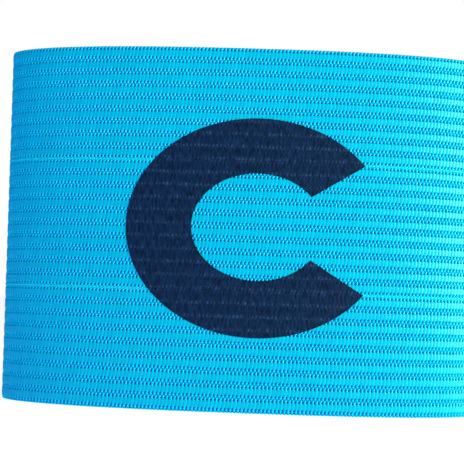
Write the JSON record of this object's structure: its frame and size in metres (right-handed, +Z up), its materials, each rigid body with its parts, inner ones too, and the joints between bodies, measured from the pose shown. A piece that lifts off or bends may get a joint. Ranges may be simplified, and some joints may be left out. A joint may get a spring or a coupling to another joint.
{
  "type": "captain armband",
  "caption": "Loop of wide ribbed woven elastic worn on the upper arm, with a printed letter C on its front and a lapped seam at its back.",
  "frame": {"origin": "on the surface that the band stands on, under the middle of the part", "axes": "+X across the front to its right as seen, +Y from the front to the seam at the back, +Z up, along the arm opening"},
  "size_m": [0.1048, 0.0282, 0.075],
  "materials": {
    "woven_elastic": "ribbed woven elastic, azure, matt with a slight sheen on the threads",
    "printed_film": "heat-pressed film, navy, satin"
  },
  "bodies": {
    "root": {"elastic_band": "woven_elastic", "captain_mark": "printed_film"}
  },
  "joints": []
}
